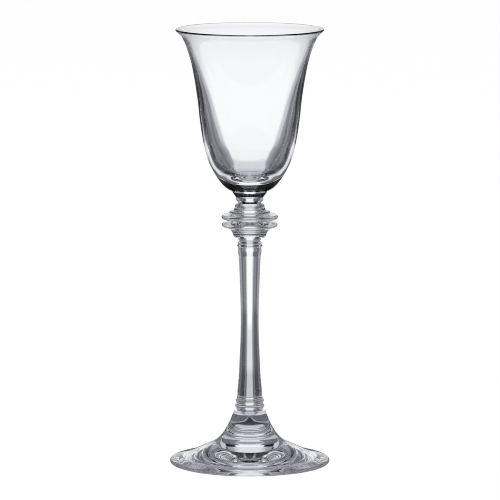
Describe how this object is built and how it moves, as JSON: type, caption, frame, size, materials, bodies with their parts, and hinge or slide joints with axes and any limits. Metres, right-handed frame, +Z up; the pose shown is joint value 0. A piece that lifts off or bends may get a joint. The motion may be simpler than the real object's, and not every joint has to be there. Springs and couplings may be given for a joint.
{
  "type": "cordial glass",
  "caption": "Small stemmed drinking glass: a flared bowl with a heavy base on a ringed knop, a waisted stem and a wide, slightly hollowed foot.",
  "frame": {"origin": "centre of the foot's resting ring, on the table", "axes": "+Z up along the axis of the glass, towards the rim; +X and +Y are any two horizontal directions, as the glass is round"},
  "size_m": [0.0642, 0.0642, 0.175],
  "materials": {
    "clear_glass": "polished clear glass, faintly cool"
  },
  "bodies": {
    "root": {"bowl": "clear_glass", "neck": "clear_glass", "upper_ring": "clear_glass", "lower_ring": "clear_glass", "stem": "clear_glass", "collar": "clear_glass", "foot": "clear_glass"}
  },
  "joints": []
}
